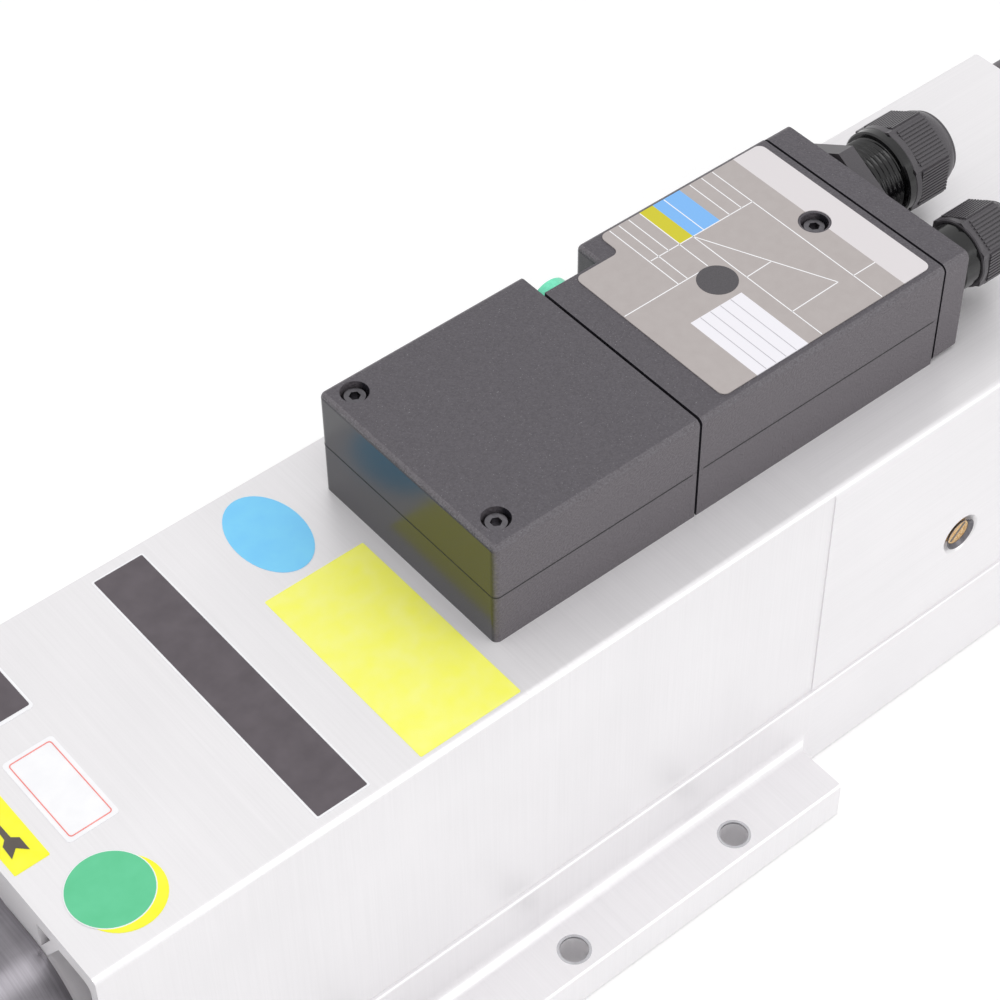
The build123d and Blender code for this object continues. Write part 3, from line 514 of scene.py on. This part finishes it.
def flat_plate(name, outline, height, thickness, finish, holes=()):
    """Thin level plate from an outline and any holes in it."""
    made = bmesh.new()
    edges = []
    for loop in (outline, *holes):
        points = [made.verts.new((x, y, height)) for x, y in loop]
        for index, point in enumerate(points):
            edges.append(made.edges.new((points[index - 1], point)))
    bmesh.ops.triangle_fill(made, use_beauty=True, edges=edges)
    pulled = bmesh.ops.extrude_face_region(made, geom=made.faces[:])
    lifted = [part for part in pulled["geom"] if isinstance(part, bmesh.types.BMVert)]
    bmesh.ops.translate(made, vec=(0, 0, thickness), verts=lifted)
    return settle(name, made, finish, "housing")


print("points of a rounded square:", len(rounded(rectangle(0, 1, 0, 1), 0.1)))

# %% [markdown]
# ## Bars
# The third maker lays short straight bars on a surface. They serve as the ribs of a nut and, much
# flatter, as printed lines.

# %% Bars for ribs and printed lines
def bars(name, lines, width, thickness, finish):
    """Straight bars from (start, end, outward) triples, lying on the surface they start from."""
    made = bmesh.new()
    for start, end, outward in lines:
        start, end, outward = Vector(start), Vector(end), Vector(outward)
        side = (end - start).normalized().cross(outward) * width / 2
        rings = []
        for point in (start, end):
            low, high = point, point + outward * thickness
            rings.append([low - side, low + side, high + side, high - side])
        add_skin(made, rings, False)
    return settle(name, made, finish, "housing")


def on_level(segments, height):
    """Lines on a level face, from (x0, y0, x1, y1) segments."""
    upward = (0, 0, 1)
    return [((x0, y0, height), (x1, y1, height), upward) for x0, y0, x1, y1 in segments]


print("a bar on a level face:", on_level([(0, 0, 1, 0)], deck))

# %% [markdown]
# ## Vinyl
# Labels are printed vinyl: smooth, a little glossy under a clear coat, and slightly uneven.

# %% Vinyl finishes
def vinyl(name, colour, shade):
    skin = Finish(name, coat_weight=0.15, coat_roughness=0.25)
    clouds = skin.noise(skin.place(), 0.15, 2.0)
    skin.drive("Base Color", skin.blend(skin.ramp(clouds, 0.3, 0.7, 0.0, 1.0), colour, shade))
    skin.drive("Roughness", skin.ramp(clouds, 0.3, 0.7, 0.31, 0.40))
    return skin


for name, colour, shade in (
    ("blue_vinyl", rgb(120, 208, 255), rgb(126, 214, 255)),
    ("green_vinyl", rgb(90, 200, 146), rgb(98, 206, 154)),
    ("yellow_vinyl", rgb(253, 250, 30), rgb(255, 253, 60)),
    ("pale_yellow_vinyl", rgb(255, 255, 102), rgb(255, 255, 134)),
    ("black_vinyl", rgb(80, 72, 78), rgb(90, 82, 88)),
    ("brown_vinyl", rgb(84, 76, 70), rgb(94, 86, 80)),
    ("white_vinyl", rgb(246, 246, 249), rgb(252, 252, 254)),
    ("red_vinyl", rgb(240, 136, 130), rgb(246, 148, 142)),
    ("grey_vinyl", rgb(186, 184, 190), rgb(194, 192, 198)),
):
    finishes[name] = vinyl(name, colour, shade)
print("finishes:", len(finishes))

# %% [markdown]
# ## Labels on the body
# Thin labels lie on the body's top, each a film of vinyl, and some of them two films. They are
# left bare of words and signs: only their colours and outlines are kept.

# %% Body labels
glue = 0.02
film = 0.12


def body_label(name, outline, finish, layer=0, holes=()):
    """One film of a label, on the deck or on the films under it."""
    height = deck + glue + layer * film
    return flat_plate(name, outline, height, film, finish, holes)


body_label("oval_label", oval((8.0, 34.8), 11.0, 16.5), "blue_vinyl")
body_label("long_label_edge", rounded(rectangle(-40.9, -23.5, -53.4, 51.9), 0.6), "white_vinyl")
body_label("long_label", rounded(rectangle(-40.3, -24.1, -52.8, 51.3), 0.4), "black_vinyl", 1)
body_label("square_label", rounded(rectangle(-7.9, 26.5, -54.9, 14.9), 0.5), "pale_yellow_vinyl")
body_label("card_label", rounded(rectangle(-94.4, -78.5, -18.5, 14.0), 1.2), "white_vinyl")
body_label(
    "card_line",
    rounded(rectangle(-93.1, -79.8, -17.2, 12.7), 1.0),
    "red_vinyl",
    1,
    [rounded(rectangle(-92.8, -80.1, -16.9, 12.4), 0.8)],
)
body_label("under_disc", oval((-92.4, -39.8), 11.9, 11.9), "yellow_vinyl")
body_label("disc_edge", oval((-94.1, -37.0), 12.0, 12.0), "white_vinyl", 1)
body_label("disc_label", oval((-94.1, -37.0), 11.7, 11.7), "green_vinyl", 2)
body_label("dark_label_edge", rounded(rectangle(-109.0, -76.6, 25.2, 46.0), 1.2), "white_vinyl")
body_label("dark_label", rounded(rectangle(-108.2, -77.4, 26.4, 45.2), 0.6), "black_vinyl", 1)
body_label("strip_label", rounded(rectangle(-110.5, -99.8, -18.1, 36.0), 0.4), "yellow_vinyl")
arrow = [
    (-106.4, 4.0), (-106.4, -4.6), (-106.5, -6.9), (-108.0, -8.5), (-108.2, -13.2),
    (-105.6, -10.9), (-103.0, -13.5), (-103.0, -8.7), (-104.8, -7.2), (-104.9, -2.2),
    (-104.9, 4.0),
]
body_label("strip_arrow", arrow, "brown_vinyl", 1)

# %% [markdown]
# ## The rating plate
# A thin sheet, taupe with white and coloured fields, is stuck to the rear lid. It goes around the
# box's notch and leaves a hole for the lid's screw. The fields are masks in its material: a mask
# is 1 where a position lies between two pairs of limits. Its words are left off.

# %% Rating plate
def plate_finish():
    skin = Finish("rating_plate", metallic=0.1)
    point = skin.place()
    x, y = skin.axes(point)[:2]

    def field(x0, x1, y0, y1):
        """Mask of one rectangle of the plate."""
        return (x > x0) * (x < x1) * (y > y0) * (y < y1)

    clouds = skin.noise(point, 0.3, 3.0)
    colour = skin.blend(clouds, rgb(174, 166, 164), rgb(184, 177, 175))
    for x0, x1, y0, y1, paint in (
        (187.3, 199.0, -36.0, 38.0, rgb(222, 217, 219)),
        (154.6, 165.4, 19.2, 38.0, rgb(124, 184, 244)),
        (149.3, 154.6, 19.2, 38.0, rgb(208, 200, 30)),
        (129.1, 148.9, -36.0, -7.5, rgb(240, 238, 244)),
    ):
        colour = skin.blend(field(x0, x1, y0, y1), colour, paint)
    skin.drive("Base Color", colour)
    skin.drive("Roughness", skin.ramp(clouds, 0.3, 0.7, 0.30, 0.38))
    return skin


finishes["rating_plate"] = plate_finish()
plate_corners = [
    (116.3, -35.0), (198.6, -35.0), (198.6, 37.1), (133.5, 37.1), (133.5, 28.0), (116.3, 28.0),
]
plate_top = lid_top + 0.3
rear_lid_screw = (186.4, 0.9)
flat_plate(
    "rating_plate", rounded(plate_corners, 2.4), lid_top + glue, plate_top - lid_top - glue,
    "rating_plate", [oval(rear_lid_screw, 5.0, 5.0)],
)
flat_plate("plate_window", oval((147.2, 0.75), 6.2, 6.2), plate_top, 0.05, "smoked_window")
print("rating plate at height, mm:", plate_top)

# %% [markdown]
# ## Printed lines
# The plate's ruled table and its plain chart are lines of ink, so each is a bar a few hundredths
# of a millimetre high. A line is written as x and y where it starts, then x and y where it ends.

# %% Ruled lines and chart on the plate
table = [(x, 19.2, x, 36.8) for x in (174.1, 169.3, 144.9)]
table += [(178.5, -34.8, 178.5, 36.8), (149.1, 7.0, 149.1, 19.2), (137.9, 19.2, 178.5, 19.2)]
table += [(141.0, 6.7, 141.0, 36.8), (137.4, 6.7, 137.4, 36.8), (116.6, 6.6, 149.1, 6.6)]
table += [(178.5, -23.2, 187.3, -23.2), (158.9, 19.4, 158.9, 36.8), (149.3, 19.2, 149.3, 36.8)]
chart = [(154.5, -34.8, 154.5, 19.2), (154.5, 19.2, 164.6, -3.3), (164.6, -3.3, 173.2, -22.3)]
chart += [(164.6, -3.5, 154.5, -3.8), (173.2, -22.3, 154.5, -22.7)]
bars("plate_lines", on_level(table + chart, plate_top), 0.32, 0.03, "white_vinyl")
box_rules = [(x, -34.8, x, -7.7) for x in (144.5, 140.5, 136.6, 132.8)]
bars("plate_box_rules", on_level(box_rules, plate_top), 0.28, 0.03, "grey_vinyl")
print("printed lines:", len(table), len(chart), len(box_rules))

# %% [markdown]
# ## Screws
# Socket-head screws hold the lids, the front flange and the rear cover. Those of the lids and the
# flange stand in recesses that the solids already have, and those of the cover stand proud. A
# hexagon is a circle whose radius swells towards six corners, so the same ring maker draws the
# socket.

# %% Socket-head screws
def hexagon(angle):
    """Radius of a hexagon one unit from its flats, in a given direction."""
    return 1 / cos((angle + pi / 6) % (pi / 3) - pi / 6)


def socket_screw(made, axis, centre, foot, tip, radius, socket):
    """One screw head, from its foot to its tip, with a hexagon socket as wide as stated."""
    outward = 1 if tip > foot else -1
    chamfer, depth = 0.4 * outward, 2.0 * outward
    stations = [(foot, radius, None), (tip - chamfer, radius, None), (tip, radius - 0.4, None)]
    stations += [(tip, socket / 2, hexagon), (tip - depth, socket / 2, hexagon)]
    rings = [around(axis, centre, along, size, 36, shape) for along, size, shape in stations]
    add_skin(made, rings, False)


lid_screws = [(39.4, -29.3), (39.4, 32.4), rear_lid_screw]
made = bmesh.new()
for x, y in lid_screws:
    socket_screw(made, "z", (x, y, 0), lid_top - 4.6, lid_top - 1.5, 3.5, 3.0)
settle("lid_screws", made, "screw_steel", "housing", 30)

made = bmesh.new()
for across in (-36.0, 36.0):
    for over in (-36.0, 36.0):
        centre = (0, across, axis_height + over)
        socket_screw(made, "x", centre, -127.5, -133.2, 5.0, 5.0)
settle("flange_screws", made, "screw_steel", "housing", 30)

made = bmesh.new()
for across in (-46.5, 46.5):
    for height in (8.5, 118.3):
        socket_screw(made, "x", (0, across, height), 387.9, 390.2, 3.0, 2.5)
settle("cover_screws", made, "screw_steel", "housing", 30)
print("screws in the lids:", len(lid_screws), "and 4 each in the flange and the cover")

# %% [markdown]
# ## Cable glands
# A gland is a threaded barrel with a hexagon, a washer under it, and a dome nut that grips the
# cable. The solids give the hexagons and the plain forms. Added here are the washers, the black
# barrel with its thread, the collar, and the nut's rim and domed end. A stretch is written as its
# start and end along X, then its radius, and a thread has its pitch last.

# %% Threads, rims and domes of the glands
glands = {
    "large": {
        "centre": (0, 18.8, 146.7), "washer": 15.9, "thread": (220.0, 233.2, 12.35, 1.8),
        "collar": (232.7, 235.7, 14.5), "rim": (235.6, 238.4, 14.6), "nut": (235.8, 250.3, 13.2),
        "dome": (256.3, 9.8, 7.6),
    },
    "small": {
        "centre": (0, -22.5, 146.7), "washer": 10.5, "thread": (218.0, 225.6, 9.15, 1.5),
        "collar": (218.6, 225.2, 10.4), "rim": (225.2, 227.4, 11.4), "nut": (225.3, 239.8, 10.5),
        "dome": (244.3, 7.2, 5.1),
    },
}


def thread(name, centre, start, end, radius, pitch):
    """Screw thread: its ridge climbs one pitch along the axis in one turn around it."""
    made = bmesh.new()
    samples = 6
    steepness = 1.3
    rings = []
    for level in range(int((end - start) / pitch * samples)):
        def ridge(angle):
            return radius + steepness * abs((level / samples - angle / (2 * pi)) % 1 - 0.5)

        rings.append(around("x", centre, start + level * pitch / samples, 1.0, 48, ridge))
    add_skin(made, rings, False)
    return settle(name, made, "gloss_black", "housing", 50)


washer_start, washer_end = 211.6, 214.0
barrel_hole = 8.0
for size, gland in glands.items():
    centre, washer = gland["centre"], gland["washer"]
    turned(
        size + "_gland_washer", "x", centre,
        [(washer_start, barrel_hole), (washer_start, washer), (washer_end, washer),
         (washer_end, barrel_hole)],
        "gloss_black",
    )
    thread(size + "_gland_thread", centre, *gland["thread"])
    start, end, radius = gland["collar"]
    turned(
        size + "_gland_collar", "x", centre,
        [(start, barrel_hole), (start, radius - 0.5), (start + 0.5, radius), (end, radius),
         (end, barrel_hole)],
        "gloss_black",
    )
    start, end, radius = gland["rim"]
    turned(
        size + "_gland_rim", "x", centre,
        [(start, barrel_hole), (start, radius - 0.4), (start + 0.4, radius),
         (end - 0.4, radius), (end, radius - 0.4), (end, barrel_hole)],
        "gland",
    )
    start, end, flat = gland["nut"]
    tip, tip_radius, entry = gland["dome"]
    arc = []
    for step in range(9):
        angle = pi / 2 * step / 8
        arc.append((end + (tip - end) * sin(angle), tip_radius + (flat - tip_radius) * cos(angle)))
    turned(
        size + "_gland_dome", "x", centre,
        [(end - 1.0, entry), (end - 1.0, flat - 0.1), *arc, (tip, entry)], "gland",
    )
print("glands:", ", ".join(glands))

# %% [markdown]
# ## Ribs on the nuts
# Fingers need a grip on the nuts, so every flat has a row of fine ribs along the gland's axis. A
# row is placed by turning one flat's ribs around the axis in steps of 60 degrees. Each rib's foot
# is sunk a little into the flat.

# %% Nut ribs
rib_pitch, rib_width, rib_height, rib_sunk = 1.25, 0.75, 0.55, 0.05
for size, gland in glands.items():
    start, end, flat = gland["nut"]
    ribs_each_side = int(flat * 0.52 / rib_pitch)
    lines = []
    for side in range(6):
        angle = pi / 3 * side
        outward = Vector((0, cos(angle), sin(angle)))
        across = Vector((0, -sin(angle), cos(angle)))
        for rib in range(-ribs_each_side, ribs_each_side + 1):
            foot = Vector(gland["centre"]) + outward * (flat - rib_sunk) + across * rib * rib_pitch
            ends = [foot + Vector((x, 0, 0)) for x in (start + 2.8, end + 0.4)]
            lines.append((*ends, outward))
    bars(size + "_gland_ribs", lines, rib_width, rib_height, "gland")
    print("ribs on the", size, "nut:", len(lines))

# %% [markdown]
# ## Small trim
# Seams and machined edges tell the eye how well a thing is made. The box gets the shadow line between
# base and lid, a thin dark ring of painted shadow, and the mounting holes their bright rims. The vent
# plug gets its slot as a dark bar of painted shade, and a ring of painted shade in the countersink
# around it.

# %% Seams, hole rims and the vent plug
def grown(outline, amount):
    """A square-cornered outline with every side moved outwards."""
    moved = []
    for index, corner in enumerate(outline):
        shift = Vector((0, 0))
        for start, end in (
            (outline[index - 1], corner), (corner, outline[(index + 1) % len(outline)])
        ):
            along = (Vector(end) - Vector(start)).normalized()
            shift += Vector((along.y, -along.x)) * amount
        moved.append(tuple(Vector(corner) + shift))
    return moved


def seam_shadow(name, outline):
    """Dark line of painted shadow around a box where its base ends and its lid begins."""
    outer, inner = rounded(grown(outline, 0.05), 2.0), rounded(grown(outline, -0.6), 1.4)
    # Painted shadow: the thin ring wears the dark rubber finish and stands for the shade in the gap
    # between base and lid.
    return flat_plate(name, outer, 145.3, 0.45, "seal_rubber", [inner])


seam_shadow("front_box_seam_shadow", rectangle(31.6, 104.9, -38.0, 39.1))
rear_corners = [
    (105.8, -38.0), (201.2, -38.0), (201.2, 39.1), (126.0, 39.1), (126.0, 29.1), (105.8, 29.1),
]
seam_shadow("rear_box_seam_shadow", rear_corners)
rim_profile = [(15.03, 4.45), (15.03, 5.3), (14.9, 5.3), (14.2, 4.45)]
made = bmesh.new()
for x in (-97.5, -32.5, 32.5, 97.5):
    for y in (-72.0, 72.0):
        rings = [around("z", (x, y, 0), level, reach, 40) for level, reach in rim_profile]
        add_skin(made, rings, True)
settle("hole_rims", made, "bearing_steel", "housing", 30)
plug = (204.0, 0, 65.3)
# Painted shade: a ring of dark steel lines the countersink around the vent plug, darker than the body
# it is cut into.
turned(
    "plug_sink_shade", "y", plug,
    [(-58.03, 5.9), (-58.03, 5.6), (-56.9, 4.5), (-56.7, 4.5), (-57.9, 5.9)],
    "screw_steel",
)
# Painted shade: the plug's slot is a flat dark bar lying on the surface, not a cut.
slot_shade_line = ((201.2, -56.8, 62.6), (206.8, -56.8, 68.0), (0, -1, 0))
bars("plug_slot_shade", [slot_shade_line], 1.1, 0.05, "brown_vinyl")

# %% [markdown]
# ## Disc springs
# The drawbar is pulled back by a stack of disc springs. They are cones put face to face and back to
# back, so neighbours meet by turns at the outer and the inner edge. The stack stands on a shoulder in
# the shaft. On the real spindle it gets shorter by the drawbar's stroke, which the record gives; here
# the stroke is read, but the stack is not made shorter.

# %% Disc springs
stack_start, stack_end = (corner[0] for corner in corners("disc_springs"))
stack_length = stack_end - stack_start
joints = {joint["name"]: joint for joint in frame["record"]["behaviour"]["joints"]}
stroke = joints["drawbar_slide"]["range_m"][1] / MM
disc_outer, disc_inner = 13.6, 7.4
contact_width = 1.8
couples = 24
couple = stack_length / couples
outside, inside = [], []
for index in range(couples):
    start = stack_start + index * couple
    outside.append((start, disc_inner + contact_width))
    outside += [(start + share * couple, disc_outer) for share in (0.38, 0.62)]
    inside += [(start + share * couple, disc_inner) for share in (0.0, 0.12)]
    inside.append((start + 0.5 * couple, disc_outer - contact_width))
    inside.append((start + 0.88 * couple, disc_inner))
outside.append((stack_end, disc_inner + contact_width))
inside.append((stack_end, disc_inner))
spring_stack = turned(
    "spring_stack", "x", (0, 0, axis_height), outside + inside[::-1], "spring_steel",
    body="shaft", steps=24, smooth=20,
)
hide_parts("disc_springs")
1 - stroke / stack_length
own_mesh(spring_stack)
print("spring stack of", 2 * couples, "discs, mm:", round(stack_length, 1))

# %% [markdown]
# ## Lighting and floor
# A large white floor takes the shadow. Its faint glow keeps it as white as the sky behind it.

# %% Floor
floor_reach, floor_height = 6.0, -0.0005
floor_mesh = bpy.data.meshes.new("floor")
floor_mesh.from_pydata(
    [(x, y, floor_height) for x, y in rectangle(-floor_reach, floor_reach, -floor_reach, floor_reach)],
    [],
    [(0, 1, 2, 3)],
)
floor = bpy.data.objects.new("floor", floor_mesh)
bpy.context.collection.objects.link(floor)
floor_finish = Finish(
    "floor", roughness=0.7, emission_color=(1.0, 1.0, 1.0, 1.0), emission_strength=0.1
)
floor_cloud = floor_finish.noise(floor_finish.place(), 0.004, 2.0)
pale, white = (0.955, 0.955, 0.955, 1.0), (0.975, 0.975, 0.975, 1.0)
floor_finish.drive("Base Color", floor_finish.blend(floor_cloud, pale, white))
floor_mesh.materials.append(floor_finish.material)
print("floor reaches, m:", floor_reach)

# %% [markdown]
# ## World and lamps
# A white world gives an even light. It shows white to the camera and to mirrors, and a little
# dimmer as a lamp, so the background stays white while the part keeps its shading. The key lamp
# stands overhead, the edge lamp on the near side brightens the body's rounded edge, and a weak
# one beyond the nose, on the far side, fills the shadows.

# %% World and lamps
world = bpy.data.worlds.new("studio")
world.use_nodes = True
bpy.context.scene.world = world
world_nodes, world_links = world.node_tree.nodes, world.node_tree.links
path = world_nodes.new("ShaderNodeLightPath")
seen = path.outputs["Is Camera Ray"]
for label in ("Is Glossy Ray", "Is Transmission Ray"):
    either = world_nodes.new("ShaderNodeMath")
    either.operation = "MAXIMUM"
    world_links.new(seen, either.inputs[0])
    world_links.new(path.outputs[label], either.inputs[1])
    seen = either.outputs[0]
strength = world_nodes.new("ShaderNodeMapRange")
strength.inputs["To Min"].default_value = 0.77
strength.inputs["To Max"].default_value = 1.0
world_links.new(seen, strength.inputs["Value"])
sky = world_nodes["Background"]
sky.inputs["Color"].default_value = (1.0, 1.0, 1.0, 1.0)
world_links.new(strength.outputs[0], sky.inputs["Strength"])


def soft_lamp(name, place, size, power):
    """Round lamp that looks at the middle of the part."""
    lamp = bpy.data.lights.new(name, "AREA")
    lamp.shape = "DISK"
    lamp.size = size
    lamp.energy = power
    thing = bpy.data.objects.new(name, lamp)
    bpy.context.collection.objects.link(thing)
    thing.location = place
    aim = Vector((0.05, 0, 0.1)) - Vector(place)
    thing.rotation_euler = aim.to_track_quat("-Z", "Y").to_euler()


soft_lamp("edge_lamp", (0.74, -1.16, 0.91), 0.8, 2.1)
soft_lamp("key_lamp", (-0.1, -0.35, 2.0), 1.4, 9)
soft_lamp("fill_lamp", (-1.2, 1.0, 1.0), 1.4, 0.6)
